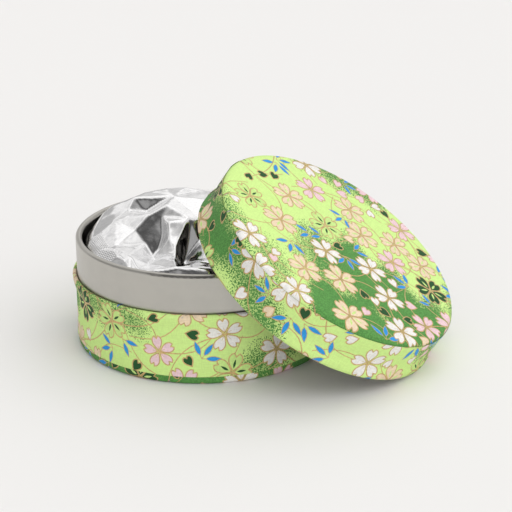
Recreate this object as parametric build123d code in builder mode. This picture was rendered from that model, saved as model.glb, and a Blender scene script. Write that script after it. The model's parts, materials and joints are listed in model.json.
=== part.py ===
from build123d import *
from math import cos, radians, sin
import os

# A flat round tea tin: a drawn body with a sleeve standing out of it as a collar, a drawn lid that
# slips over the collar, printed paper glued over both, and a foil pouch of tea inside.
# Millimetres. Z is up and the origin is the centre of the body's underside. The lid is off: it
# stands on its lower edge and leans in over the rim, towards -X. All the pieces are bodies of
# revolution, so every profile is drawn as (radius, height), mostly as the face that touches the
# next layer inside, which is then thickened outwards.

# Materials
TIN = 0.25
PAPER = 0.15
FILM = 0.15
GLUE = 0.02
SKIN = GLUE + PAPER

# Body and collar
BODY_INNER_R = 40.55
BODY_H = 22.8
BODY_BEAD_R = 0.6
BODY_CORNER_R = 1.2
COLLAR_OUTER_R = 40.5
COLLAR_FOOT_Z = 1.9
RIM_TOP_Z = 34.9
RIM_ROLL_R = 1.0

# Lid, in its own frame: its open edge at z = 0 and its top at LID_H
LID_INNER_R = 40.8
LID_H = 15.0
LID_BEAD_R = 0.65
LID_CORNER_R = 1.3

# Lid's place: off the body and leaning
LID_TILT = 33.8
LID_OPEN_X = 37.4

# Paper: turned-over margins, bands and the lap where a band's two ends meet
BASE_MARGIN_H = 5.0
BASE_STRIP_H = 2.6
LID_MARGIN_H = 6.0
LID_BAND_GAP = 1.35
STEP_H = 1.5
BODY_FLARE_H = 5.0
LID_FLARE_H = 4.5
LAP_DEG = 8
WRAP_DEG = 120
CURL_DEG = 255
ROLL_DEG = 275

# Pouch and the tea in it
POUCH_R = 37.6
POUCH_FOOT_R = 4.0
POUCH_SHOULDER_Z = 27.0
POUCH_TOP_Z = 43.6
DOME_FULLNESS = 0.55
POUCH_GAP = 0.3
TEA_GAP = 0.4
TEA_EDGE_Z = 17.0
TEA_TOP_Z = 23.0

# Worked out from the values above
BODY_OUTER_R = BODY_INNER_R + TIN
BODY_PAPER_R = BODY_OUTER_R + GLUE
FLOOR_Z = SKIN + TIN
BODY_BEAD_Z = BODY_H - SKIN - BODY_BEAD_R
BODY_BEAD_CENTRE_R = BODY_INNER_R + BODY_BEAD_R
LID_PAPER_R = LID_INNER_R + TIN + GLUE
LID_BEAD_Z = SKIN + LID_BEAD_R
LID_BEAD_CENTRE_R = LID_INNER_R + LID_BEAD_R
POUCH_Z = FLOOR_Z + POUCH_GAP

LAP_START = 180 - LAP_DEG / 2
LAP_END = 180 + LAP_DEG / 2

UP = 1
DOWN = -1


def leaning_profile():
    """The lid's own (radius, height) plane: tilted about Y, its lowest point on the table."""
    tilt = radians(LID_TILT)
    height = LID_BEAD_CENTRE_R * sin(tilt) + LID_BEAD_Z * (1 - cos(tilt))
    return Plane(
        origin=(LID_OPEN_X, 0, height),
        x_dir=(cos(tilt), 0, -sin(tilt)),
        z_dir=(0, -1, 0),
    )


def turned(profile, axis, degrees):
    """The profile plane turned about the piece's own axis."""
    about = Axis((0, 0, 0), axis.direction)
    return Plane(
        origin=profile.origin,
        x_dir=profile.x_dir.rotate(about, degrees),
        z_dir=profile.z_dir.rotate(about, degrees),
    )


def cup(radius, flat_z, bend, wall_end_z, way):
    """A flat end, a rounded corner and a straight wall that runs UP or DOWN from it."""
    turn_z = flat_z + way * bend
    flat = Line((0, flat_z), (radius - bend, flat_z))
    RadiusArc(flat @ 1, (radius, turn_z), -way * bend)
    Line((radius, turn_z), (radius, wall_end_z))


def band(wall_r, edge_z, margin_z, flare_z, bead_centre_r, bead_z, bead_r, way):
    """A side band: over the other paper's margin, along the wall, out and over the rolled edge."""
    margin = Line((wall_r + SKIN, edge_z), (wall_r + SKIN, margin_z))
    step = Line(margin @ 1, (wall_r, margin_z + way * STEP_H))
    wall = Line(step @ 1, (wall_r, flare_z))
    wrap_r = bead_r + GLUE
    flare_end = (bead_centre_r + wrap_r, bead_z)
    halfway = ((wall_r + flare_end[0]) / 2, (flare_z + bead_z) / 2)
    leaving = TangentArc(wall @ 1, halfway, tangent=(0, way))
    TangentArc(halfway, flare_end, tangent=leaving % 1)
    CenterArc((bead_centre_r, bead_z), wrap_r, 0, way * WRAP_DEG)


def body_band():
    margin_z = BASE_MARGIN_H + GLUE
    flare_z = BODY_BEAD_Z - BODY_FLARE_H
    band(
        BODY_PAPER_R, BASE_STRIP_H, margin_z, flare_z,
        BODY_BEAD_CENTRE_R, BODY_BEAD_Z, BODY_BEAD_R, UP,
    )


def lid_band():
    margin_z = LID_H - LID_MARGIN_H - GLUE
    flare_z = LID_BEAD_Z + LID_FLARE_H
    band(
        LID_PAPER_R, LID_H - LID_BAND_GAP, margin_z, flare_z,
        LID_BEAD_CENTRE_R, LID_BEAD_Z, LID_BEAD_R, DOWN,
    )


def pouch_outline(inset, shoulder_z, top_z):
    """Half of a round cushion's outline: flat foot, upright side and a domed top."""
    foot_z = POUCH_Z + inset
    radius = POUCH_R - inset
    foot = Line((0, foot_z), (radius - POUCH_FOOT_R, foot_z))
    turn = RadiusArc(foot @ 1, (radius, foot_z + POUCH_FOOT_R), -POUCH_FOOT_R)
    side = Line(turn @ 1, (radius, shoulder_z))
    full = DOME_FULLNESS
    above_shoulder = (radius, shoulder_z + full * (top_z - shoulder_z))
    dome = Bezier(side @ 1, above_shoulder, (radius * full, top_z), (0, top_z))
    Line(dome @ 1, foot @ 0)


BODY_PROFILE = Plane.XZ
BODY_AXIS = Axis.Z
LID_PROFILE = leaning_profile()
LID_AXIS = Axis(LID_PROFILE.origin, LID_PROFILE.y_dir)

# ---------------------------------------------------------------- body

with BuildPart() as body_shell:
    with BuildSketch(BODY_PROFILE):
        with BuildLine():
            cup(BODY_INNER_R, FLOOR_Z, BODY_CORNER_R - TIN, BODY_BEAD_Z, UP)
            CenterArc((BODY_BEAD_CENTRE_R, BODY_BEAD_Z), BODY_BEAD_R, 180, -CURL_DEG)
            offset(amount=TIN, side=Side.RIGHT)
        make_face()
    revolve(axis=BODY_AXIS)

with BuildPart() as collar:
    roll_z = RIM_TOP_Z - RIM_ROLL_R
    with BuildSketch(BODY_PROFILE):
        with BuildLine():
            Line((COLLAR_OUTER_R, COLLAR_FOOT_Z), (COLLAR_OUTER_R, roll_z))
            CenterArc((COLLAR_OUTER_R - RIM_ROLL_R, roll_z), RIM_ROLL_R, 0, ROLL_DEG)
            offset(amount=TIN, side=Side.LEFT)
        make_face()
    revolve(axis=BODY_AXIS)

with BuildPart() as base_paper:
    with BuildSketch(BODY_PROFILE):
        with BuildLine():
            cup(BODY_PAPER_R, PAPER, BODY_CORNER_R + GLUE, BASE_MARGIN_H, UP)
            offset(amount=PAPER, side=Side.RIGHT)
        make_face()
    revolve(axis=BODY_AXIS)

with BuildPart() as body_side_paper:
    with BuildSketch(turned(BODY_PROFILE, BODY_AXIS, LAP_END)):
        with BuildLine():
            body_band()
            offset(amount=PAPER, side=Side.RIGHT)
        make_face()
    revolve(axis=BODY_AXIS, revolution_arc=360 - LAP_DEG)
    with BuildSketch(turned(BODY_PROFILE, BODY_AXIS, LAP_START)):
        with BuildLine():
            body_band()
            offset(amount=2 * PAPER, side=Side.RIGHT)
        make_face()
    revolve(axis=BODY_AXIS, revolution_arc=LAP_DEG)

# ---------------------------------------------------------------- pouch of tea

with BuildPart() as foil_pouch:
    with BuildSketch(BODY_PROFILE):
        with BuildLine():
            pouch_outline(0, POUCH_SHOULDER_Z, POUCH_TOP_Z)
        make_face()
        with BuildLine():
            pouch_outline(FILM, POUCH_SHOULDER_Z, POUCH_TOP_Z - FILM)
        make_face(mode=Mode.SUBTRACT)
    revolve(axis=BODY_AXIS)

with BuildPart() as tea_leaves:
    with BuildSketch(BODY_PROFILE):
        with BuildLine():
            pouch_outline(FILM + TEA_GAP, TEA_EDGE_Z, TEA_TOP_Z)
        make_face()
    revolve(axis=BODY_AXIS)

# ---------------------------------------------------------------- lid

with BuildPart() as lid_shell:
    with BuildSketch(LID_PROFILE):
        with BuildLine():
            cup(LID_INNER_R, LID_H - SKIN - TIN, LID_CORNER_R - TIN, LID_BEAD_Z, DOWN)
            CenterArc((LID_BEAD_CENTRE_R, LID_BEAD_Z), LID_BEAD_R, 180, CURL_DEG)
            offset(amount=TIN, side=Side.LEFT)
        make_face()
    revolve(axis=LID_AXIS)

with BuildPart() as lid_top_paper:
    with BuildSketch(LID_PROFILE):
        with BuildLine():
            cup(LID_PAPER_R, LID_H - PAPER, LID_CORNER_R + GLUE, LID_H - LID_MARGIN_H, DOWN)
            offset(amount=PAPER, side=Side.LEFT)
        make_face()
    revolve(axis=LID_AXIS)

with BuildPart() as lid_side_paper:
    with BuildSketch(turned(LID_PROFILE, LID_AXIS, LAP_END)):
        with BuildLine():
            lid_band()
            offset(amount=PAPER, side=Side.LEFT)
        make_face()
    revolve(axis=LID_AXIS, revolution_arc=360 - LAP_DEG)
    with BuildSketch(turned(LID_PROFILE, LID_AXIS, LAP_START)):
        with BuildLine():
            lid_band()
            offset(amount=2 * PAPER, side=Side.LEFT)
        make_face()
    revolve(axis=LID_AXIS, revolution_arc=LAP_DEG)

# ---------------------------------------------------------------- files

body_shell.part.label = "body_shell"
collar.part.label = "collar"
base_paper.part.label = "base_paper"
body_side_paper.part.label = "body_side_paper"
foil_pouch.part.label = "foil_pouch"
tea_leaves.part.label = "tea_leaves"
lid_shell.part.label = "lid_shell"
lid_top_paper.part.label = "lid_top_paper"
lid_side_paper.part.label = "lid_side_paper"

os.makedirs("parts", exist_ok=True)
export_step(body_shell.part, "parts/body_shell.step")
export_step(collar.part, "parts/collar.step")
export_step(base_paper.part, "parts/base_paper.step")
export_step(body_side_paper.part, "parts/body_side_paper.step")
export_step(foil_pouch.part, "parts/foil_pouch.step")
export_step(tea_leaves.part, "parts/tea_leaves.step")
export_step(lid_shell.part, "parts/lid_shell.step")
export_step(lid_top_paper.part, "parts/lid_top_paper.step")
export_step(lid_side_paper.part, "parts/lid_side_paper.step")
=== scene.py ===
"""Looks for the flat round tea tin: printed washi paper, satin tinplate, a crumpled foil pouch of tea."""
import json
import math

import bpy
import numpy as np
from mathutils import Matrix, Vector
from mathutils.geometry import delaunay_2d_cdt


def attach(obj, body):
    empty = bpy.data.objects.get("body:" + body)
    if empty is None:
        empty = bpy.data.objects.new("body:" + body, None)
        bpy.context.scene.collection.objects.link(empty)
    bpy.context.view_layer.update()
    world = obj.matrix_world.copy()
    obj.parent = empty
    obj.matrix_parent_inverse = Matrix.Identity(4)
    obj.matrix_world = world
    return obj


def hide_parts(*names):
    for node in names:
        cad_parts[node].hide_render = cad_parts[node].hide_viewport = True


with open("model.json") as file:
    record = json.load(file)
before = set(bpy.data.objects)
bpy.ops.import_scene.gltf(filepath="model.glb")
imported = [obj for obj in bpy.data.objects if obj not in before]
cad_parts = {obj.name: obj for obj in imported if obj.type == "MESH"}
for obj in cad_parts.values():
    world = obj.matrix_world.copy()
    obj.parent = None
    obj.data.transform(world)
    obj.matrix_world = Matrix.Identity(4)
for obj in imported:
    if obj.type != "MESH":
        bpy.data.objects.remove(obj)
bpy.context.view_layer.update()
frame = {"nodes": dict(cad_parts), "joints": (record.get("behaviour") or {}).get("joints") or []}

# ------------------------------------------------------------------ sizes, in millimetres
MM = 0.001
PAPER = 0.15
SKIN = 0.17
BODY_WALL_R = 40.82
BODY_H = 22.8
BODY_BEAD_R = 0.6
BODY_CORNER_R = 1.2
BODY_INNER_R = 40.55
BODY_FLARE_H = 5.0
BASE_STRIP_H = 2.6
BASE_MARGIN_H = 5.0
LID_WALL_R = 41.07
LID_INNER_R = 40.8
LID_H = 15.0
LID_BEAD_R = 0.65
LID_CORNER_R = 1.3
LID_FLARE_H = 4.5
LID_MARGIN_H = 6.0
LID_BAND_GAP = 1.35
STEP_H = 1.5
WRAP_DEG = 120
MARGIN_GAP = 0.02

# a band's last LAP lies on its own beginning, LAP_LIFT up, and climbs there within LAP_CLIMB
LAP = 5.7
LAP_LIFT = PAPER + 0.01
LAP_CLIMB = 1.2

# a round sheet's rings have this many points at its edge, and from this radius out
DISC_COLUMNS = 256
DISC_DENSE_FROM_R = 36

# the camera: its direction from the aim point, distance in metres and lens in millimetres
VIEW_AZ = math.radians(22.3)
VIEW_EL = math.radians(20.6)
VIEW_DISTANCE = 0.514
VIEW_LENS = 113.8
VIEW_ROLL = math.radians(-0.48)
AIM = Vector((0.0150, 0.0062, 0.0257))

rng = np.random.RandomState
SEEDS = {"lid_top": 11, "base": 23, "body_band": 5, "lid_band": 31, "foil_ring": 7, "foil_middle": 3,
         "foil_fine": 9, "side": 17, "side_fine": 19, "tea": 29}


# ------------------------------------------------------------------ places, from the frame
def lid_place():
    """Centre of the lid's open edge and its three axes, from its round top sheet in the CAD."""
    up = Vector(next(j["axis"] for j in frame["joints"] if j["child"] == "lid")).normalized()
    across = Vector((0, 1, 0))
    along = across.cross(up).normalized()
    co = np.array([v.co for v in frame["nodes"]["lid_top_paper"].data.vertices])
    centre = up * (float((co @ np.array(up)).max()) - LID_H * MM)
    for axis in (along, across):
        reach = co @ np.array(axis)
        centre += axis * float(reach.max() + reach.min()) / 2
    return centre, along, across, up


LID_PLACE = lid_place()
BODY_PLACE = (Vector((0, 0, 0)), Vector((1, 0, 0)), Vector((0, 1, 0)), Vector((0, 0, 1)))


# ------------------------------------------------------------------ node helpers
def new_material(name):
    mat = bpy.data.materials.new(name)
    mat.use_nodes = True
    nt = mat.node_tree
    return mat, nt, nt.nodes["Principled BSDF"]


def node(nt, kind, **inputs):
    made = nt.nodes.new(kind)
    for key, value in inputs.items():
        made.inputs[key.replace("_", " ")].default_value = value
    return made


def noise(nt, vector, scale, detail=2.0, roughness=0.5):
    made = node(nt, "ShaderNodeTexNoise", Scale=scale, Detail=detail, Roughness=roughness)
    nt.links.new(vector, made.inputs["Vector"])
    return made.outputs["Fac"]


def ramp(nt, value, low, high, out_low=0.0, out_high=1.0):
    made = nt.nodes.new("ShaderNodeMapRange")
    made.interpolation_type = "SMOOTHSTEP"
    made.inputs["From Min"].default_value = low
    made.inputs["From Max"].default_value = high
    made.inputs["To Min"].default_value = out_low
    made.inputs["To Max"].default_value = out_high
    nt.links.new(value, made.inputs["Value"])
    return made.outputs["Result"]


def math_node(nt, operation, a, b):
    made = nt.nodes.new("ShaderNodeMath")
    made.operation = operation
    for socket, value in zip(made.inputs, (a, b)):
        if isinstance(value, (int, float)):
            socket.default_value = value
        else:
            nt.links.new(value, socket)
    return made.outputs[0]


def mix(nt, fac, a, b):
    made = nt.nodes.new("ShaderNodeMix")
    made.data_type = "RGBA"
    nt.links.new(fac, made.inputs[0])
    for socket, value in ((made.inputs[6], a), (made.inputs[7], b)):
        if isinstance(value, tuple):
            socket.default_value = (*value, 1)
        else:
            nt.links.new(value, socket)
    return made.outputs[2]


def bump(nt, bsdf, height, strength, distance):
    made = nt.nodes.new("ShaderNodeBump")
    made.inputs["Strength"].default_value = strength
    made.inputs["Distance"].default_value = distance
    nt.links.new(height, made.inputs["Height"])
    nt.links.new(made.outputs["Normal"], bsdf.inputs["Normal"])


def object_coords(nt):
    return nt.nodes.new("ShaderNodeTexCoord").outputs["Object"]


def attribute(nt, name):
    made = nt.nodes.new("ShaderNodeAttribute")
    made.attribute_name = name
    return made.outputs["Fac"]


def shade(colour, share):
    return tuple(share * c for c in colour)


# ------------------------------------------------------------------ mesh helpers
def mesh_object(name, points, faces, *materials):
    """A new object in the scene, from points in metres."""
    me = bpy.data.meshes.new(name)
    me.from_pydata(points, [], faces)
    for mat in materials:
        me.materials.append(mat)
    ob = bpy.data.objects.new(name, me)
    bpy.context.scene.collection.objects.link(ob)
    return ob


def hoop(radius, z, cos_a, sin_a):
    """Points of one closed ring, whose radius and height may vary round it."""
    return np.stack(np.broadcast_arrays(radius * cos_a, radius * sin_a, z), axis=1)


# ------------------------------------------------------------------ paper materials
GROUND_LIGHT = (0.64, 0.88, 0.29)
GROUND_DEEP = (0.075, 0.225, 0.05)
INKS = {
    "white": (0.93, 0.91, 0.87),
    "pink": (0.92, 0.66, 0.71),
    "beige": (0.92, 0.74, 0.52),
    "dark": (0.018, 0.095, 0.025),
    "light": (0.64, 0.88, 0.29),
    "blue": (0.03, 0.34, 0.80),
}
GOLD = (0.68, 0.46, 0.20)


def washi_bump(nt, bsdf):
    """Bumps the paper with a fine laid weave along the sheet's own coordinates, and gives its height."""
    uv = nt.nodes.new("ShaderNodeUVMap")
    uv.uv_map = "sheet"
    weave = []
    for stretch in ((1.0, 0.22, 1.0), (0.22, 1.0, 1.0)):
        scaled = nt.nodes.new("ShaderNodeMapping")
        scaled.inputs["Scale"].default_value = stretch
        nt.links.new(uv.outputs["UV"], scaled.inputs["Vector"])
        weave.append(noise(nt, scaled.outputs["Vector"], 2.6, 2.0))
    both = math_node(nt, "ADD", weave[0], weave[1])
    bump(nt, bsdf, both, 0.35, 0.00012)
    return both


def paper_ground(name):
    mat, nt, bsdf = new_material(name)
    weave = washi_bump(nt, bsdf)
    tone = attribute(nt, "tone")
    grain = noise(nt, object_coords(nt), 2300.0, 1.0)
    # a print of fine dots: the deeper the tone, the more of the ground the dark ink covers
    level = ramp(nt, grain, 0.32, 0.68)
    covered = ramp(nt, math_node(nt, "SUBTRACT", tone, level), -0.04, 0.08)
    light = mix(nt, ramp(nt, weave, 0.7, 1.3), shade(GROUND_LIGHT, 0.90), GROUND_LIGHT)
    deep = mix(nt, ramp(nt, grain, 0.35, 0.65), GROUND_DEEP, shade(GROUND_DEEP, 1.5))
    wash = mix(nt, ramp(nt, tone, 0.1, 0.9), light, shade(GROUND_LIGHT, 0.62))
    nt.links.new(mix(nt, covered, wash, deep), bsdf.inputs["Base Color"])
    bsdf.inputs["Roughness"].default_value = 0.72
    bsdf.inputs["Specular IOR Level"].default_value = 0.35
    return mat


def paper_ink(name, colour):
    mat, nt, bsdf = new_material(name)
    weave = washi_bump(nt, bsdf)
    blotches = ramp(nt, noise(nt, object_coords(nt), 420.0), 0.35, 0.65)
    washed = mix(nt, blotches, shade(colour, 0.90), colour)
    fibres = mix(nt, ramp(nt, weave, 0.7, 1.3), shade(colour, 0.80), washed)
    nt.links.new(fibres, bsdf.inputs["Base Color"])
    bsdf.inputs["Roughness"].default_value = 0.66
    bsdf.inputs["Specular IOR Level"].default_value = 0.35
    return mat


def gold_ink(name):
    mat, nt, bsdf = new_material(name)
    grain = noise(nt, object_coords(nt), 1500.0, 3.0)
    nt.links.new(mix(nt, ramp(nt, grain, 0.35, 0.65), shade(GOLD, 0.72), GOLD), bsdf.inputs["Base Color"])
    nt.links.new(ramp(nt, grain, 0.3, 0.7, 0.34, 0.52), bsdf.inputs["Roughness"])
    bsdf.inputs["Metallic"].default_value = 0.35
    bump(nt, bsdf, grain, 0.3, 0.00008)
    return mat


def paper_back(name):
    mat, nt, bsdf = new_material(name)
    fibres = noise(nt, object_coords(nt), 900.0, 5.0)
    nt.links.new(mix(nt, ramp(nt, fibres, 0.35, 0.65), (0.62, 0.60, 0.52), (0.74, 0.72, 0.64)),
                 bsdf.inputs["Base Color"])
    bsdf.inputs["Roughness"].default_value = 0.85
    bump(nt, bsdf, fibres, 0.4, 0.0001)
    return mat


PRINT_SLOTS = ["ground", *INKS, "gold", "back"]


def print_materials():
    made = {"ground": paper_ground("washi_ground"), "gold": gold_ink("gold_ink"),
            "back": paper_back("washi_back")}
    for ink, colour in INKS.items():
        made[ink] = paper_ink(f"{ink}_ink", colour)
    return [made[k] for k in PRINT_SLOTS]


# ------------------------------------------------------------------ printed motifs, in millimetres
LINE = 0.36
LEAF_LINE = 0.2
STEM_WIDTH = 0.40
PETALS = 5
CENTRE_GAP = 0.42
BLOSSOM_AREA, SPRAY_AREA, PETAL_AREA = 200, 380, 230


def bezier(p0, p1, p2, p3, count):
    t = np.linspace(0, 1, count)[:, None]
    p0, p1, p2, p3 = (np.array(p, float) for p in (p0, p1, p2, p3))
    return (1 - t) ** 3 * p0 + 3 * t * (1 - t) ** 2 * p1 + 3 * t * t * (1 - t) * p2 + t**3 * p3


def grown(outline, distance):
    """The outline moved out by a distance, or in by a negative one."""
    before = np.roll(outline, 1, axis=0)
    after = np.roll(outline, -1, axis=0)
    a = outline - before
    b = after - outline
    a /= np.maximum(np.linalg.norm(a, axis=1, keepdims=True), 1e-9)
    b /= np.maximum(np.linalg.norm(b, axis=1, keepdims=True), 1e-9)
    normal = np.stack([a[:, 1] + b[:, 1], -(a[:, 0] + b[:, 0])], axis=1)
    size = np.linalg.norm(normal, axis=1, keepdims=True)
    miter = np.clip(2 / np.maximum(size, 1e-6), 1, 1.6)
    return outline + normal / np.maximum(size, 1e-9) * distance * miter


def placed(outline, at, turn):
    c, s = math.cos(turn), math.sin(turn)
    return outline @ np.array([[c, s], [-s, c]]) + np.array(at, float)


def petal(length, width):
    """A cherry petal along +x from the origin: narrow base, broad shoulders, notched tip."""
    side = bezier((0, 0), (0.26 * length, -0.30 * width), (0.60 * length, -0.74 * width),
                  (0.93 * length, -0.38 * width), 9)
    tip = np.array([(0.95, -0.31), (1.0, -0.20), (0.92, -0.11)]) * (length, width)
    notch = np.array([(0.81 * length, 0.0)])
    half = np.vstack([side, tip])
    return np.vstack([half, notch, (half * (1, -1))[::-1][:-1]])


def spindle(length, width, count=6):
    """A slender leaf along +x, pointed at both ends."""
    t = np.linspace(0, 1, count)
    half = np.stack([t * length, -np.sin(math.pi * t**0.85) * width / 2], axis=1)
    return np.vstack([half, (half * (1, -1))[::-1][1:-1]])


def ribbon(points, width):
    """A line of ink along the points, tapering at its far end."""
    points = np.array(points, float)
    tangent = np.gradient(points, axis=0)
    tangent /= np.linalg.norm(tangent, axis=1, keepdims=True)
    normal = np.stack([-tangent[:, 1], tangent[:, 0]], axis=1)
    taper = np.linspace(1.0, 0.6, len(points))[:, None] * width / 2
    return np.vstack([points - normal * taper, (points + normal * taper)[::-1]])


def outlined(outline, ink, at, turn, line=LINE):
    """A shape of one ink with a gold line round it."""
    return [(placed(grown(outline, line / 2), at, turn), "gold"),
            (placed(grown(outline, -line / 2), at, turn), ink)]


FLOWERS = {
    # ink, share of the print, petal width by length, stroke on each petal, size from and to
    "white": (0.24, 0.66, None, 5.5, 6.1),
    "pink": (0.22, 0.64, None, 4.9, 5.9),
    "beige": (0.20, 0.72, "light", 5.6, 6.3),
    "cream": (0.10, 0.66, None, 5.4, 6.0),
    "dark": (0.14, 0.74, "light", 5.6, 6.3),
    "light": (0.10, 0.74, "dark", 5.4, 6.1),
}
FLOWER_INK = {"cream": "beige"}


def flower(kind, size, at, turn):
    _, fullness, stroke, _, _ = FLOWERS[kind]
    ink = FLOWER_INK.get(kind, kind)
    shape = petal(size - CENTRE_GAP, fullness * (size - CENTRE_GAP)) + (CENTRE_GAP, 0)
    angles = [turn + k * math.tau / PETALS for k in range(PETALS)]
    made = []
    for angle in angles:
        made += outlined(shape, ink, at, angle)
    for angle in angles:
        if stroke:
            made.append((placed(spindle(0.48 * size, 0.13 * size) + (0.22 * size, 0), at, angle), stroke))
        else:
            line = ribbon([(0.1, 0), (0.25 * size, 0.0), (0.42 * size, 0.0)], 0.17)
            made.append((placed(line, at, angle), "gold"))
    return made


def leaves(at, turn, count, size):
    """A spray of pointed leaves on short stalks."""
    made = []
    for k in range(count):
        angle = turn + (k - (count - 1) / 2) * math.radians(56)
        made.append((placed(ribbon([(0, 0), (0.8, 0), (1.6, 0)], 0.26), at, angle), "gold"))
        made += outlined(spindle(size, 0.34 * size) + (1.2, 0), "blue", at, angle, LEAF_LINE)
    return made


def stem(at, turn, length, bow):
    """A thin curved stem: an arc that leaves along turn and bows to one side."""
    t = np.linspace(0, 1, 11)
    path = np.stack([t * length, bow * np.sin(math.pi * t)], axis=1)
    return [(placed(ribbon(path, STEM_WIDTH), at, turn), "gold")]


def arrangement(low, high, seed):
    """Blossoms, leaves, loose petals and stems scattered over a stretch of the print."""
    r = rng(seed)
    spots = []

    def spot(radius, tries):
        for _ in range(tries):
            p = np.array([r.uniform(low[0], high[0]), r.uniform(low[1], high[1])])
            if all(np.hypot(*(p - q)) > radius + s for q, s in spots):
                spots.append((p, radius))
                return p
        return None

    kinds = list(FLOWERS)
    shares = np.array([FLOWERS[k][0] for k in kinds])
    area = (high[0] - low[0]) * (high[1] - low[1])
    blossoms, twigs, loose, lines = [], [], [], []
    for _ in range(int(area / BLOSSOM_AREA)):
        kind = kinds[r.choice(len(kinds), p=shares / shares.sum())]
        size = r.uniform(*FLOWERS[kind][3:5])
        turn = r.uniform(0, math.tau)
        at = spot(size * 0.96, 120)
        if at is None:
            continue
        blossoms.append(flower(kind, size, at, turn))
        for side in (0, math.pi):
            aim = side + r.normal(0, 0.6)
            lines.append(stem(at, aim, r.uniform(16, 28), r.choice([-1, 1]) * r.uniform(2.5, 6)))
    for _ in range(int(area / SPRAY_AREA)):
        turn, count, size = r.uniform(0, math.tau), r.choice([2, 3, 3]), r.uniform(4.4, 5.2)
        at = spot(2.1, 200)
        if at is not None:
            foot = at - 2.6 * np.array([math.cos(turn), math.sin(turn)])
            twigs.append(leaves(foot, turn, count, size))
    for _ in range(int(area / PETAL_AREA)):
        ink = ["pink", "beige", "dark", "white", "dark"][r.randint(5)]
        turn, size = r.uniform(0, math.tau), r.uniform(3.6, 4.4)
        at = spot(1.7, 200)
        if at is not None:
            loose.append(outlined(petal(size, 0.8 * size) - (size / 2, 0), ink, at, turn))
    return [layer for group in (lines, twigs, loose, blossoms) for motif in group for layer in motif]


# ------------------------------------------------------------------ sheets of printed paper
def arc_points(centre_r, centre_z, radius, start_deg, arc_deg, count):
    a = np.radians(np.linspace(start_deg, start_deg + arc_deg, count))
    return [(centre_r + radius * c, centre_z + radius * s) for c, s in zip(np.cos(a), np.sin(a))]


def flare_points(r0, z0, r1, z1, count=14):
    """The gentle double bend by which a band leaves the wall and meets the rolled edge."""
    t = np.linspace(0, 1, count)
    return [(r0 + (r1 - r0) * (3 * k * k - 2 * k**3), z0 + (z1 - z0) * k) for k in t]


class Profile:
    """A (radius, height) line that a sheet follows, read by its length along the line."""

    def __init__(self, points, outward):
        keep = [points[0]]
        for p in points[1:]:
            if math.dist(p, keep[-1]) > 1e-6:
                keep.append(p)
        self.points = np.array(keep, float)
        steps = np.linalg.norm(np.diff(self.points, axis=0), axis=1)
        self.along = np.concatenate([[0], np.cumsum(steps)])
        self.length = float(self.along[-1])
        tangent = np.gradient(self.points, self.along, axis=0)
        tangent /= np.linalg.norm(tangent, axis=1, keepdims=True)
        self.normals = outward * np.stack([tangent[:, 1], -tangent[:, 0]], axis=1)

    def at(self, s):
        """Radius, height and the two parts of the normal at lengths along the line."""
        return [np.interp(s, self.along, column) for column in (*self.points.T, *self.normals.T)]

    def rows(self, step):
        """Lengths to put rows of mesh points at: close together where the line bends."""
        rows = [0.0]
        turn = np.arctan2(self.normals[:, 1], self.normals[:, 0])
        for s in np.arange(0.02, self.length, 0.02):
            bend = abs(np.interp(s, self.along, np.unwrap(turn)) -
                       np.interp(rows[-1], self.along, np.unwrap(turn)))
            if s - rows[-1] >= step or bend > math.radians(14):
                rows.append(float(s))
        if self.length - rows[-1] < 0.3 * step:
            rows.pop()
        rows.append(self.length)
        return np.array(rows)


def overlay(outline, extra, layers):
    """Cuts a flat sheet up along every motif's outline. Gives points, triangles and each one's ink."""
    low, high = outline.min(axis=0), outline.max(axis=0)
    points = [Vector(p) for p in outline] + [Vector(p) for p in extra]
    faces = [list(range(len(outline)))]
    inks = ["ground"]
    for shape, ink in layers:
        if (shape.max(axis=0) < low).any() or (shape.min(axis=0) > high).any():
            continue
        faces.append(list(range(len(points), len(points) + len(shape))))
        points += [Vector(p) for p in shape]
        inks.append(ink)
    co, _, tris, _, _, origin = delaunay_2d_cdt(points, [], faces, 0, 1e-5, True)
    kept = [(t, inks[max(o)]) for t, o in zip(tris, origin) if 0 in o and len(t) == 3]
    flat = np.array([tuple(c) for c in co])
    tri = np.array([t for t, _ in kept])
    used = np.unique(tri)
    renumber = np.full(len(flat), -1)
    renumber[used] = np.arange(len(used))
    flat, tri = flat[used], renumber[tri]
    a, b, c = (flat[tri[:, k]] for k in range(3))
    area = (b[:, 0] - a[:, 0]) * (c[:, 1] - a[:, 1]) - (b[:, 1] - a[:, 1]) * (c[:, 0] - a[:, 0])
    tri[area < 0] = tri[area < 0][:, ::-1]
    real = np.abs(area) > 1e-9
    return flat, tri[real], [ink for (_, ink), k in zip(kept, real) if k]


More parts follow.
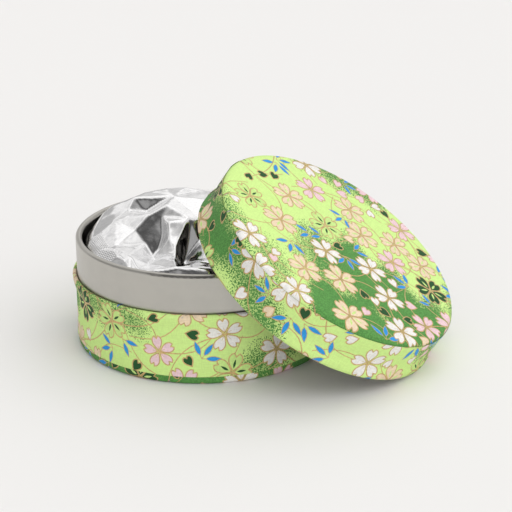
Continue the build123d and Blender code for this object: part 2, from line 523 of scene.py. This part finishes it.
def sheet_object(name, flat, tri, inks, fold, tone, materials):
    """Folds a cut-up flat sheet into place and gives it the thickness of paper."""
    place, normal = fold(flat)
    a, b, c = (place[tri[:, k]] for k in range(3))
    if (np.cross(b - a, c - a) * normal[tri[:, 0]]).sum() < 0:
        tri = tri[:, ::-1]
    count = len(flat)
    co = np.vstack([place, place - normal * PAPER]) * MM
    directed = np.vstack([tri[:, [0, 1]], tri[:, [1, 2]], tri[:, [2, 0]]])
    edges = np.sort(directed, axis=1)
    numbers = edges[:, 0] * count + edges[:, 1]
    number, uses = np.unique(numbers, return_counts=True)
    rim = directed[np.isin(numbers, number[uses == 1])]
    quads = np.stack([rim[:, 1], rim[:, 0], rim[:, 0] + count, rim[:, 1] + count], axis=1)
    faces = [*tri.tolist(), *(tri[:, ::-1] + count).tolist(), *quads.tolist()]
    ob = mesh_object(name, co.tolist(), faces, *materials)
    me = ob.data
    slot = [PRINT_SLOTS.index(i) for i in inks]
    ground, back = PRINT_SLOTS.index("ground"), PRINT_SLOTS.index("back")
    me.polygons.foreach_set("material_index", slot + [back] * len(tri) + [ground] * len(quads))
    tones = me.attributes.new("tone", "FLOAT", "POINT")
    tones.data.foreach_set("value", np.tile(tone(flat), 2).astype(np.float32))
    loops = np.zeros(len(me.loops), np.int32)
    me.loops.foreach_get("vertex_index", loops)
    uv = me.uv_layers.new(name="sheet")
    uv.data.foreach_set("uv", np.tile(flat, (2, 1))[loops].astype(np.float32).ravel())
    me.shade_smooth()
    normals = np.vstack([normal, -normal])
    me.normals_split_custom_set_from_vertices(normals.tolist())
    return ob


def in_place(place, r, z, cos_a, sin_a):
    centre, along, across, up = (np.array(v) for v in place)
    flat = (r * cos_a)[:, None] * along + (r * sin_a)[:, None] * across + z[:, None] * up
    return flat + centre / MM


def normal_in_place(place, r, z, cos_a, sin_a):
    normal = in_place((np.zeros(3), *place[1:]), r, z, cos_a, sin_a)
    return normal / np.linalg.norm(normal, axis=1, keepdims=True)


def disc_fold(profile, place):
    """Wraps a round sheet over a flat end and down the wall, by distance from its centre."""
    def fold(flat):
        reach = np.hypot(flat[:, 0], flat[:, 1])
        cos_a = np.where(reach > 1e-9, flat[:, 0] / np.maximum(reach, 1e-9), 1.0)
        sin_a = np.where(reach > 1e-9, flat[:, 1] / np.maximum(reach, 1e-9), 0.0)
        r, z, nr, nz = profile.at(reach)
        return in_place(place, r, z, cos_a, sin_a), normal_in_place(place, nr, nz, cos_a, sin_a)
    return fold


def band_fold(profile, place, turn_r, start):
    """Wraps a long sheet round the wall; its last stretch climbs over its own beginning."""
    def fold(flat):
        angle = start + flat[:, 0] / turn_r
        r, z, nr, nz = profile.at(flat[:, 1])
        over = np.clip((flat[:, 0] - (math.tau * turn_r - LAP_CLIMB)) / LAP_CLIMB, 0, 1)
        lift = LAP_LIFT * over * over * (3 - 2 * over)
        cos_a, sin_a = np.cos(angle), np.sin(angle)
        at = in_place(place, r + nr * lift, z + nz * lift, cos_a, sin_a)
        return at, normal_in_place(place, nr, nz, cos_a, sin_a)
    return fold


def disc_sheet(name, profile, place, layers, tone, materials, step=1.6):
    rows = profile.rows(step)
    angles = np.arange(DISC_COLUMNS) * math.tau / DISC_COLUMNS
    outline = rows[-1] * np.stack([np.cos(angles), np.sin(angles)], axis=1)
    extra = []
    for row in rows[:-1]:
        around = max(1, int(DISC_COLUMNS * (row / rows[-1]))) if row < DISC_DENSE_FROM_R else DISC_COLUMNS
        a = np.arange(around) * math.tau / around
        extra.append(row * np.stack([np.cos(a), np.sin(a)], axis=1))
    flat, tri, inks = overlay(outline, np.vstack(extra), layers)
    return sheet_object(name, flat, tri, inks, disc_fold(profile, place), tone, materials)


def band_sheet(name, profile, place, turn_r, layers, tone, materials, step=1.3):
    width = math.tau * turn_r + LAP
    rows = profile.rows(step)
    columns = np.linspace(0, width, int(width / 1.0) + 1)
    outline = np.array([*[(x, 0) for x in columns], *[(width, y) for y in rows[1:-1]],
                        *[(x, profile.length) for x in columns[::-1]],
                        *[(0, y) for y in rows[1:-1][::-1]]])
    x, y = np.meshgrid(columns[1:-1], rows[1:-1])
    flat, tri, inks = overlay(outline, np.stack([x.ravel(), y.ravel()], axis=1), layers)
    start = math.pi - LAP / 2 / turn_r
    return sheet_object(name, flat, tri, inks, band_fold(profile, place, turn_r, start), tone, materials)


def clouds(*patches, base=-0.15):
    """Soft patches of deeper tone: each is x, y of one end, x, y of the other, half-width and depth."""
    def tone(flat):
        value = np.full(len(flat), base, float)
        for x0, y0, x1, y1, half, depth in patches:
            a, b = np.array([x0, y0]), np.array([x1, y1])
            t = np.clip(((flat - a) @ (b - a)) / ((b - a) @ (b - a)), 0, 1)
            gap = np.linalg.norm(flat - (a + t[:, None] * (b - a)), axis=1)
            wave = 1 + 0.22 * np.sin(flat[:, 0] * 0.37 + flat[:, 1] * 0.23)
            fall = np.clip(1 - gap / (half * wave), 0, 1)
            value = np.maximum(value, base + (depth - base) * fall * fall * (3 - 2 * fall))
        return value
    return tone


# ------------------------------------------------------------------ the four papers
def lid_top_profile():
    r = LID_WALL_R + PAPER
    return Profile([(0, LID_H), (r - LID_CORNER_R - SKIN, LID_H),
                    *arc_points(r - LID_CORNER_R - SKIN, LID_H - LID_CORNER_R - SKIN,
                                LID_CORNER_R + SKIN, 90, -90, 12),
                    (r, LID_H - LID_MARGIN_H)], -1)


def base_profile():
    r = BODY_WALL_R + PAPER
    bend = BODY_CORNER_R + SKIN
    return Profile([(0, 0), (r - bend, 0), *arc_points(r - bend, bend, bend, -90, 90, 12),
                    (r, BASE_MARGIN_H)], 1)


def body_band_profile():
    bead_z = BODY_H - SKIN - BODY_BEAD_R
    bead_centre_r = BODY_INNER_R + BODY_BEAD_R
    wrap = BODY_BEAD_R + SKIN
    r = BODY_WALL_R + PAPER
    margin_z = BASE_MARGIN_H + MARGIN_GAP
    return Profile([(r + SKIN, BASE_STRIP_H), (r + SKIN, margin_z), (r, margin_z + STEP_H),
                    *flare_points(r, bead_z - BODY_FLARE_H, bead_centre_r + wrap, bead_z),
                    *arc_points(bead_centre_r, bead_z, wrap, 0, WRAP_DEG, 12)], 1)


def lid_band_profile():
    bead_z = SKIN + LID_BEAD_R
    bead_centre_r = LID_INNER_R + LID_BEAD_R
    wrap = LID_BEAD_R + SKIN
    r = LID_WALL_R + PAPER
    margin_z = LID_H - LID_MARGIN_H - MARGIN_GAP
    points = [(r + SKIN, LID_H - LID_BAND_GAP), (r + SKIN, margin_z), (r, margin_z - STEP_H),
              *flare_points(r, bead_z + LID_FLARE_H, bead_centre_r + wrap, bead_z),
              *arc_points(bead_centre_r, bead_z, wrap, 0, -WRAP_DEG, 12)]
    return Profile(points[::-1], 1)


def make_papers():
    materials = print_materials()
    disc_area, body_area, lid_area = ((-48, -48), (48, 48)), ((-4, -7), (266, 28)), ((-4, -7), (266, 22))
    top = disc_sheet(
        "lid_top_print", lid_top_profile(), LID_PLACE, arrangement(*disc_area, SEEDS["lid_top"]),
        clouds((8, -8, 36, -8, 22, 1.9), (12, -32, 32, -26, 18, 1.9), (-28, 32, -4, 40, 11, 0.8),
               (36, 24, 42, 10, 9, 0.7), (-38, -26, -8, -36, 12, 0.5), (-10, -8, -6, -20, 10, 0.45)),
        materials)
    base = disc_sheet(
        "base_print", base_profile(), BODY_PLACE, arrangement(*disc_area, SEEDS["base"]),
        clouds((-50, -36, 50, -40, 24, 2.4), (-50, 36, 50, 40, 24, 2.4),
               (-44, -30, -44, 30, 18, 2.4), (44, -30, 44, 30, 18, 2.4)), materials)
    body = band_sheet(
        "body_side_print", body_band_profile(), BODY_PLACE, BODY_WALL_R + PAPER,
        arrangement(*body_area, SEEDS["body_band"]),
        clouds((10, 2, 24, 16, 12, 1.3), (32, 20, 62, 16, 9, 0.6), (98, 2, 116, 8, 10, 0.7),
               (140, 18, 160, 6, 14, 1.6), (190, 4, 216, 16, 11, 0.8), (238, 18, 252, 4, 10, 0.7)),
        materials)
    band = band_sheet(
        "lid_side_print", lid_band_profile(), LID_PLACE, LID_WALL_R + PAPER,
        arrangement(*lid_area, SEEDS["lid_band"]),
        clouds((6, 3, 40, 9, 15, 1.25), (50, 12, 66, 2, 11, 0.75), (120, 14, 130, 4, 8, 0.7),
               (160, 2, 186, 12, 13, 1.5), (216, 12, 236, 4, 11, 0.8)), materials)
    for piece, body_name, cad_node, slot in (
        (top, "lid", "lid_top_paper", "top_print"),
        (band, "lid", "lid_side_paper", "side_print"),
        (base, "can", "base_paper", "base_print"),
        (body, "can", "body_side_paper", "side_print"),
    ):
        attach(piece, body_name)
        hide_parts(cad_node)


# ------------------------------------------------------------------ metal
def satin_tin(name, colour):
    mat, nt, bsdf = new_material(name)
    at = object_coords(nt)
    fine = noise(nt, at, 5200.0, 2.0)
    broad = noise(nt, at, 160.0, 3.0)
    nt.links.new(mix(nt, ramp(nt, broad, 0.3, 0.7), shade(colour, 0.93), colour),
                 bsdf.inputs["Base Color"])
    nt.links.new(ramp(nt, broad, 0.3, 0.7, 0.30, 0.37), bsdf.inputs["Roughness"])
    bsdf.inputs["Metallic"].default_value = 1.0
    bump(nt, bsdf, fine, 0.25, 0.00003)
    return mat


def tea_leaf(name):
    mat, nt, bsdf = new_material(name)
    leaf = noise(nt, object_coords(nt), 700.0, 6.0, 0.7)
    nt.links.new(mix(nt, ramp(nt, leaf, 0.35, 0.65), (0.02, 0.05, 0.012), (0.10, 0.16, 0.04)),
                 bsdf.inputs["Base Color"])
    bsdf.inputs["Roughness"].default_value = 0.9
    bump(nt, bsdf, leaf, 1.0, 0.0008)
    return mat


def dress(cad_node, material):
    me = frame["nodes"][cad_node].data
    me.materials.clear()
    me.materials.append(material)


def make_metal():
    tin = satin_tin("tinplate", (0.52, 0.50, 0.46))
    dress("body_shell", tin)
    dress("lid_shell", tin)
    dress("collar", satin_tin("collar_tinplate", (0.53, 0.515, 0.475)))


# ------------------------------------------------------------------ foil pouch
# The crumpled top as the peaks, pits and creases of a sheet of foil, in millimetres: how far
# across the front view, how far towards the viewer, and how high. The visible ones follow facets
# seen in the photograph, sloped for what they reflect; the back and the part under the lid are
# invented.
FOIL_POINTS = {
    "left_tip": (-36.5, -3.0, 33.5), "left_a": (-32.0, -6.0, 38.8), "left_b": (-29.5, -7.0, 40.6),
    "peak": (-23.8, -5.0, 43.6), "ridge_a": (-19.0, -8.0, 44.8), "ridge_b": (-12.0, -9.0, 45.7),
    "ridge_c": (-6.0, -9.5, 45.8), "ridge_d": (0.0, -10.0, 44.6), "ridge_e": (5.0, -9.0, 43.6),
    "fold_a": (-22.4, -4.2, 44.2), "fold_b": (-9.6, -4.0, 44.7), "fold_pit": (-18.0, -0.5, 40.7),
    "flap_a": (-34.5, 2.0, 36.0), "flap_b": (-28.0, 3.0, 39.0), "flap_c": (-24.0, 0.0, 41.3),
    "brow_a": (-16.7, 4.0, 41.8), "brow_b": (-12.6, 5.6, 40.8), "brow_c": (-11.7, 2.0, 44.0),
    "edge_a": (-21.2, 8.2, 38.0), "edge_b": (-18.0, 12.1, 34.6), "edge_c": (-15.3, 15.6, 31.4),
    "scoop_a": (-12.5, 10.4, 36.0), "scoop_b": (-13.6, 14.0, 32.8),
    "column_a": (-11.0, 9.0, 40.6), "column_b": (-10.4, 14.5, 37.6), "column_c": (-9.6, 21.0, 34.6),
    "column_d": (-7.4, 33.0, 34.8),
    "bay_a": (-5.5, 10.0, 39.9), "bay_b": (-6.8, 14.0, 37.5), "bay_c": (-8.0, 20.0, 35.8),
    "bay_d": (-8.0, 25.0, 34.6),
    "pit_a": (-4.6, 9.6, 38.4), "pit_b": (-1.8, 6.0, 41.0), "pit_c": (-6.0, 16.8, 29.8),
    "pit_d": (-1.3, 12.1, 35.4), "pit_e": (4.0, 11.0, 37.2),
    "brim_a": (-4.2, 7.6, 41.0), "brim_b": (3.0, 5.0, 41.2), "front_a": (2.0, 24.0, 33.8),
    "lip_a": (-19.0, 30.0, 33.2), "lip_b": (-13.8, 33.0, 34.0), "lip_c": (-1.5, 34.0, 34.8),
    "lip_d": (4.0, 34.5, 34.4), "lip_e": (12.0, 32.0, 34.0),
    "hip_a": (-16.5, 26.0, 33.0), "hip_b": (-26.8, 16.0, 35.4), "hip_c": (-22.0, 22.0, 34.8),
    "seal_a": (-34.6, 9.0, 35.0), "seal_b": (-31.5, 16.0, 34.3), "seal_c": (-27.3, 20.0, 35.2),
    "seal_d": (-28.4, 22.5, 33.0), "seal_e": (-23.5, 26.0, 34.6), "seal_f": (-21.5, 29.0, 32.6),
    "back_a": (-28.0, -14.0, 38.5), "back_b": (-18.0, -18.0, 41.0), "back_c": (-8.0, -17.0, 43.5),
    "back_d": (4.0, -16.0, 42.4), "back_e": (14.0, -10.0, 42.0), "back_f": (24.0, -6.0, 39.5),
    "back_g": (-20.0, -27.0, 36.5), "back_h": (-6.0, -28.0, 38.0), "back_i": (8.0, -26.0, 39.5),
    "back_j": (20.0, -20.0, 37.5), "back_k": (30.0, -12.0, 36.0),
    "under_a": (6.0, -1.0, 44.0), "under_b": (14.0, 3.0, 41.5), "under_c": (20.0, 12.0, 38.0),
    "under_d": (12.0, 16.0, 37.0), "under_e": (28.0, 5.0, 37.5), "under_f": (22.0, 24.0, 35.0),
}
FOIL_CREASES = [
    ("left_tip", "left_a"), ("left_a", "left_b"), ("left_b", "peak"), ("peak", "ridge_a"),
    ("ridge_a", "ridge_b"), ("ridge_b", "ridge_c"), ("ridge_c", "ridge_d"), ("ridge_d", "ridge_e"),
    ("peak", "flap_c"), ("fold_a", "fold_b"), ("fold_a", "fold_pit"), ("fold_pit", "fold_b"),
    ("fold_b", "ridge_b"), ("fold_b", "brow_c"), ("left_tip", "flap_a"), ("flap_a", "flap_b"),
    ("flap_b", "flap_c"), ("flap_c", "fold_pit"), ("fold_pit", "brow_a"), ("flap_b", "brow_a"),
    ("flap_b", "edge_a"), ("edge_a", "edge_b"), ("edge_b", "edge_c"), ("brow_a", "brow_b"),
    ("brow_b", "scoop_a"), ("scoop_a", "scoop_b"), ("scoop_b", "edge_c"), ("brow_b", "brow_c"),
    ("brow_b", "column_a"), ("column_a", "column_b"), ("column_b", "column_c"),
    ("column_c", "column_d"), ("column_a", "brim_a"), ("brim_a", "brim_b"), ("brim_a", "bay_a"),
    ("bay_a", "bay_b"), ("bay_b", "bay_c"), ("bay_c", "bay_d"), ("bay_d", "column_d"),
    ("pit_a", "pit_c"), ("pit_b", "pit_d"), ("pit_c", "pit_d"), ("pit_d", "pit_e"),
    ("pit_c", "column_d"), ("edge_a", "hip_b"), ("edge_c", "hip_a"), ("hip_b", "seal_c"),
    ("seal_a", "seal_b"), ("seal_b", "seal_d"), ("seal_c", "seal_e"), ("seal_d", "seal_f"),
    ("hip_b", "hip_c"), ("hip_c", "lip_a"), ("lip_a", "lip_b"), ("lip_b", "column_d"),
    ("column_d", "lip_c"), ("lip_c", "lip_d"), ("lip_d", "lip_e"), ("flap_a", "seal_a"),
    ("flap_b", "seal_b"), ("seal_f", "lip_a"),
]
FOIL_RING_R = 40
FOIL_RING_Z = 29.6
FOIL_RING_POINTS = 24
POUCH_R = 37.7
POUCH_FOOT_R = 4.0
POUCH_FOOT_Z = 0.75
SIDE_DENT = 0.85
TEA_COLUMNS = 120
TEA_R = 35.0
TEA_EDGE_Z = 16.5
TEA_TOP_Z = 22.0
TEA_SIDE = [(12.0, 1.8), (24.0, 1.8), (31.6, 1.8), (33.8, 2.7), (34.8, 4.6), (TEA_R, 7.0),
            (TEA_R, 11.0), (TEA_R, 15.0), (34.6, 16.2)]
FOIL_GRID = 0.55
FOIL_COLUMNS = 240
FOIL_SIDE_ROWS = 45
SEAL_FROM, SEAL_TO = 214, 243
SEAL_INNER_R, SEAL_OUTER_R = 32.4, 36.8
SEAL_PITCH = 0.9
SEAL_DEPTH = 0.18
SEAL_FADE = 0.5
SEAL_MM_PER_DEG = 0.55
SEAL_GRID = 0.16


class Crumple:
    """A height map of flat facets between given heights, with its creases rounded a little."""

    CELL = 0.25

    def __init__(self, low, high, points, heights, edges, rounding):
        self.low = np.array(low, float)
        self.size = np.ceil((np.array(high) - self.low) / self.CELL).astype(int) + 1
        co, _, tris, origin, _, _ = delaunay_2d_cdt([Vector(q) for q in points], edges, [], 0, 1e-4, True)
        co = np.array([tuple(c) for c in co])
        heights = np.array([heights[o[0]] if o else heights[np.argmin(np.hypot(*(points - c).T))]
                            for c, o in zip(co, origin)])
        self.map = np.full(self.size, heights.mean())
        for tri in tris:
            self.fill(co[list(tri)], heights[list(tri)])
        self.blur(rounding)

    def fill(self, corners, heights):
        cell = (corners - self.low) / self.CELL
        lo = np.clip(np.floor(cell.min(axis=0)).astype(int), 0, self.size - 1)
        hi = np.clip(np.ceil(cell.max(axis=0)).astype(int), 0, self.size - 1)
        x, y = np.meshgrid(np.arange(lo[0], hi[0] + 1), np.arange(lo[1], hi[1] + 1), indexing="ij")
        (ax, ay), (bx, by), (cx, cy) = cell
        area = (bx - ax) * (cy - ay) - (by - ay) * (cx - ax)
        if abs(area) < 1e-9:
            return
        v = ((x - ax) * (cy - ay) - (y - ay) * (cx - ax)) / area
        w = ((bx - ax) * (y - ay) - (by - ay) * (x - ax)) / area
        inside = (v >= -1e-6) & (w >= -1e-6) & (v + w <= 1 + 1e-6)
        value = heights[0] + v * (heights[1] - heights[0]) + w * (heights[2] - heights[0])
        self.map[x[inside], y[inside]] = value[inside]

    def blur(self, radius):
        reach = int(3 * radius / self.CELL) + 1
        kernel = np.exp(-0.5 * (np.arange(-reach, reach + 1) * self.CELL / radius) ** 2)
        kernel /= kernel.sum()
        for axis in (0, 1):
            pad = [(reach, reach) if k == axis else (0, 0) for k in (0, 1)]
            wide = np.pad(self.map, pad, mode="edge")
            self.map = np.apply_along_axis(lambda row: np.convolve(row, kernel, "valid"), axis, wide)

    def at(self, x, y):
        cx = np.clip((x - self.low[0]) / self.CELL, 0, self.size[0] - 1.001)
        cy = np.clip((y - self.low[1]) / self.CELL, 0, self.size[1] - 1.001)
        i, j = cx.astype(int), cy.astype(int)
        u, v = cx - i, cy - j
        m = self.map
        return ((m[i, j] * (1 - u) + m[i + 1, j] * u) * (1 - v)
                + (m[i, j + 1] * (1 - u) + m[i + 1, j + 1] * u) * v)


def dents(low, high, spacing, depth, rounding, seed):
    """Random facets: points about the spacing apart, each raised or sunk by up to the depth."""
    r = rng(seed)
    xs = np.arange(low[0] - spacing, high[0] + 2 * spacing, spacing)
    ys = np.arange(low[1] - spacing, high[1] + 2 * spacing, spacing)
    points = np.array([(x, y) for x in xs for y in ys])
    points = points + r.uniform(-0.45, 0.45, points.shape) * spacing
    return Crumple(low, high, points, r.uniform(-depth, depth, len(points)), [], rounding)


def foil_top():
    """Height of the crumpled top at any place, in millimetres."""
    names = list(FOIL_POINTS)
    around = np.arange(FOIL_RING_POINTS) * math.tau / FOIL_RING_POINTS
    ring_z = FOIL_RING_Z + rng(SEEDS["foil_ring"]).uniform(-0.8, 1.2, FOIL_RING_POINTS)
    ring = hoop(FOIL_RING_R, ring_z, np.cos(around), np.sin(around))
    points = np.vstack([np.array([FOIL_POINTS[n] for n in names]), ring])
    edges = [(names.index(a), names.index(b)) for a, b in FOIL_CREASES]
    low, high = (-40, -40), (40, 40)
    main = Crumple(low, high, points[:, :2], points[:, 2], edges, rounding=0.22)
    middle = dents(low, high, spacing=4.6, depth=0.15, rounding=0.3, seed=SEEDS["foil_middle"])
    fine = dents(low, high, spacing=1.9, depth=0.045, rounding=0.18, seed=SEEDS["foil_fine"])

    def height(x, y):
        across = x * math.cos(VIEW_AZ) + y * math.sin(VIEW_AZ)
        towards = x * math.sin(VIEW_AZ) - y * math.cos(VIEW_AZ)
        pleats = np.where(across < -24, fine.at(across * 0.3, towards * 1.6),
                          fine.at(across * 1.6, towards * 0.3))
        return main.at(across, towards) + middle.at(across, towards) + fine.at(across, towards) + pleats
    return height


def seal_dots(x, y):
    """The knurled heat seal: a patch of small raised dots near the rim."""
    angle = np.degrees(np.arctan2(y, x)) % 360
    reach = np.hypot(x, y)
    ends = np.minimum(angle - SEAL_FROM, SEAL_TO - angle) * SEAL_MM_PER_DEG
    sides = np.minimum(reach - SEAL_INNER_R, SEAL_OUTER_R - reach)
    inside = np.clip(np.minimum(ends, sides) / SEAL_FADE, 0, 1)
    diagonal = 0.7071
    u = (x + y) * diagonal * math.tau / SEAL_PITCH
    v = (x - y) * diagonal * math.tau / SEAL_PITCH
    return SEAL_DEPTH * inside * np.cos(u) * np.cos(v)


def side_dents():
    """How far the side stands in or out at a length round it and a height, with no step at the join."""
    wrap = math.tau * POUCH_R
    low, high = (-6.0, -4.0), (wrap + 6, 38)
    side = dents(low, high, spacing=4.6, depth=1.1, rounding=0.25, seed=SEEDS["side"])
    fine = dents(low, high, spacing=2.2, depth=0.08, rounding=0.2, seed=SEEDS["side_fine"])
    blend_length = 12

    def dent(s, z):
        blend = np.clip((s - (wrap - blend_length)) / blend_length, 0, 1)
        return ((side.at(s, z) + fine.at(s, z)) * (1 - blend)
                + (side.at(s - wrap, z) + fine.at(s - wrap, z)) * blend - SIDE_DENT)
    return dent


def foil_top_grid():
    """Where the top's points stand: an even grid, and a much finer one on the heat seal."""
    grid = np.arange(-POUCH_R, POUCH_R, FOIL_GRID)
    x, y = (g.ravel() for g in np.meshgrid(grid, grid))
    dense = np.arange(-SEAL_OUTER_R - 1, SEAL_OUTER_R + 1, SEAL_GRID)
    sx, sy = (g.ravel() for g in np.meshgrid(dense, dense))
    angle, reach = np.degrees(np.arctan2(sy, sx)) % 360, np.hypot(sx, sy)
    patch = (angle > SEAL_FROM) & (angle < SEAL_TO) & (reach > SEAL_INNER_R) & (reach < SEAL_OUTER_R)
    x, y = np.concatenate([x, sx[patch] + 0.01]), np.concatenate([y, sy[patch] + 0.01])
    inside = np.hypot(x, y) < POUCH_R - 0.4
    return np.stack([x[inside], y[inside]], axis=1)


def foil_mesh():
    """The crumpled top joined to a dented side and a flat foot, as points and faces."""
    height, dent = foil_top(), side_dents()
    around = np.arange(FOIL_COLUMNS) * math.tau / FOIL_COLUMNS
    cos_a, sin_a = np.cos(around), np.sin(around)
    rim = np.stack([POUCH_R * cos_a, POUCH_R * sin_a], axis=1)
    flat = [Vector(q) for q in np.vstack([rim, foil_top_grid()])]
    co, _, tris, _, _, _ = delaunay_2d_cdt(flat, [], [list(range(FOIL_COLUMNS))], 1, 1e-6, False)
    x, y = np.array([tuple(c) for c in co]).T
    top = np.column_stack([x, y, height(x, y) + seal_dots(x, y)])
    rim_z = height(POUCH_R * cos_a, POUCH_R * sin_a)
    bend_z = POUCH_FOOT_Z + POUCH_FOOT_R
    rows = []
    for k, t in enumerate(np.linspace(0, 1, FOIL_SIDE_ROWS + 1)[1:]):
        z = rim_z + (bend_z - rim_z) * t
        fade = min(1.0, k / 4, (FOIL_SIDE_ROWS - 1 - k) / 4)
        rows.append(hoop(POUCH_R + fade * dent(around * POUCH_R, z), z, cos_a, sin_a))
    for t in np.radians(np.arange(15, 91, 15)):
        radius = POUCH_R - POUCH_FOOT_R * (1 - math.cos(t))
        rows.append(hoop(radius, bend_z - POUCH_FOOT_R * math.sin(t), cos_a, sin_a))
    rows += [hoop(radius, POUCH_FOOT_Z, cos_a, sin_a) for radius in (29.0, 22.0, 12.0)]
    faces = [tuple(t) for t in tris]
    previous = np.arange(FOIL_COLUMNS)
    for k in range(len(rows)):
        ring = len(top) + k * FOIL_COLUMNS + np.arange(FOIL_COLUMNS)
        faces += zip(previous, ring, np.roll(ring, -1), np.roll(previous, -1))
        previous = ring
    last = len(top) + len(rows) * FOIL_COLUMNS
    faces += [(a, last, b) for a, b in zip(previous, np.roll(previous, -1))]
    return np.vstack([top, *rows, [[0, 0, POUCH_FOOT_Z]]]), faces


def tea_mesh():
    """A low heap of loose leaf: flat foot, rounded corner, upright side and an uneven top."""
    around = np.arange(TEA_COLUMNS) * math.tau / TEA_COLUMNS
    cos_a, sin_a = np.cos(around), np.sin(around)
    rough = dents((-40, -40), (40, 40), spacing=2.2, depth=0.6, rounding=0.2, seed=SEEDS["tea"])
    rows = [hoop(radius, z, cos_a, sin_a) for radius, z in TEA_SIDE]
    for radius in np.arange(TEA_R - 1.5, 1.0, -1.2):
        crown = TEA_EDGE_Z + (TEA_TOP_Z - TEA_EDGE_Z) * (1 - (radius / TEA_R) ** 2)
        rows.append(hoop(radius, crown + rough.at(radius * cos_a, radius * sin_a), cos_a, sin_a))
    foot = len(rows) * TEA_COLUMNS
    last = foot - TEA_COLUMNS
    ring = range(TEA_COLUMNS)
    pairs = list(zip(ring, np.roll(ring, -1)))
    faces = [(foot, b, a) for a, b in pairs] + [(last + a, last + b, foot + 1) for a, b in pairs]
    for k in range(0, last, TEA_COLUMNS):
        faces += [(k + a, k + b, k + TEA_COLUMNS + b, k + TEA_COLUMNS + a) for a, b in pairs]
    return np.vstack([*rows, [[0, 0, TEA_SIDE[0][1]], [0, 0, TEA_TOP_Z]]]), faces


def make_tea():
    place, faces = tea_mesh()
    ob = mesh_object("tea_heap", (place * MM).tolist(), faces, tea_leaf("tea_leaf"))
    ob.data.shade_smooth()
    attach(ob, "pouch")
    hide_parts("tea_leaves")


def foil_material(name):
    mat, nt, bsdf = new_material(name)
    at = object_coords(nt)
    crinkle = noise(nt, at, 240.0, 3.0, 0.55)
    fine = noise(nt, at, 1400.0, 2.0)
    bsdf.inputs["Metallic"].default_value = 1.0
    nt.links.new(mix(nt, ramp(nt, fine, 0.3, 0.7), (0.80, 0.80, 0.81), (0.86, 0.86, 0.86)),
                 bsdf.inputs["Base Color"])
    nt.links.new(ramp(nt, crinkle, 0.3, 0.7, 0.04, 0.08), bsdf.inputs["Roughness"])
    bump(nt, bsdf, crinkle, 0.12, 0.0003)
    return mat


def make_pouch():
    place, faces = foil_mesh()
    ob = mesh_object("foil_pouch_film", (place * MM).tolist(), faces, foil_material("crumpled_foil"))
    ob.data.shade_smooth()
    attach(ob, "pouch")
    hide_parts("foil_pouch")


# ------------------------------------------------------------------ camera, floor and light
def make_camera():
    data = bpy.data.cameras.new("camera")
    data.sensor_width = 36
    data.lens = VIEW_LENS
    data.clip_start = 0.01
    data.clip_end = 20
    cam = bpy.data.objects.new("camera", data)
    back = Vector((math.sin(VIEW_AZ) * math.cos(VIEW_EL), -math.cos(VIEW_AZ) * math.cos(VIEW_EL),
                   math.sin(VIEW_EL)))
    cam.location = AIM + back * VIEW_DISTANCE
    cam.rotation_euler = (-back).to_track_quat("-Z", "Y").to_euler()
    cam.rotation_euler.rotate_axis("Z", VIEW_ROLL)
    bpy.context.scene.collection.objects.link(cam)
    bpy.context.scene.camera = cam


def make_floor():
    mat, _, bsdf = new_material("studio_floor")
    bsdf.inputs["Base Color"].default_value = (0.84, 0.83, 0.82, 1)
    bsdf.inputs["Roughness"].default_value = 0.9
    bsdf.inputs["Specular IOR Level"].default_value = 0.1
    size = 6.0
    corners = [(-size, -size, 0), (size, -size, 0), (size, size, 0), (-size, size, 0)]
    floor = mesh_object("floor", corners, [(0, 1, 2, 3)], mat)


def sun_light(name, source, angle, strength):
    """A very large soft light a long way off, which shiny surfaces don't show as a spot."""
    data = bpy.data.lights.new(name, "SUN")
    data.angle = math.radians(angle)
    data.energy = strength
    light = bpy.data.objects.new(name, data)
    light.rotation_euler = (-Vector(source)).to_track_quat("-Z", "Y").to_euler()
    light.visible_glossy = False
    bpy.context.scene.collection.objects.link(light)


def make_light():
    """A white studio, fixed in the room, with one dark side that gives foil and tin their contrast."""
    scene = bpy.context.scene
    scene.view_settings.view_transform = "Standard"
    world = bpy.data.worlds.new("studio")
    scene.world = world
    world.use_nodes = True
    nt = world.node_tree
    around = nt.nodes.new("ShaderNodeTexCoord").outputs["Generated"]

    def towards(azimuth, elevation, low, high, out_low, out_high):
        """A level from out_low to out_high as the cosine to one direction goes from low to high."""
        az, el = math.radians(azimuth), math.radians(elevation)
        dot = nt.nodes.new("ShaderNodeVectorMath")
        dot.operation = "DOT_PRODUCT"
        dot.inputs[1].default_value = (
            math.sin(az) * math.cos(el), -math.cos(az) * math.cos(el), math.sin(el))
        nt.links.new(around, dot.inputs[0])
        return ramp(nt, dot.outputs["Value"], low, high, out_low, out_high)

    ceiling = towards(0, 90, 0.15, 0.85, 0.62, 1.0)
    front = towards(22.3, 52, 0.62, 0.90, 1.0, 0.07)
    right = towards(110, 25, 0.80, 0.95, 1.0, 0.80)
    left = towards(-70, 30, 0.78, 0.95, 1.0, 0.48)
    card = towards(10, 64, 0.965, 0.997, 0.02, 0.30)
    room = ramp(nt, noise(nt, around, 2.4, 1.0), 0.36, 0.60, 0.70, 1.20)
    overhead = math_node(nt, "MULTIPLY", math_node(nt, "MULTIPLY", ceiling, room), front)
    sides = math_node(nt, "MULTIPLY", right, left)
    level = math_node(nt, "ADD", math_node(nt, "MULTIPLY", overhead, sides), card)
    back = nt.nodes["Background"]
    back.inputs["Color"].default_value = (1.0, 0.99, 0.98, 1)
    nt.links.new(level, back.inputs["Strength"])
    sun_light("key", (0.55, 0.1, 1.0), angle=80, strength=1.05)
    sun_light("fill", (0.55, -0.85, 0.45), angle=100, strength=1.5)


make_camera()
make_floor()
make_light()
make_metal()
make_papers()
make_tea()
make_pouch()
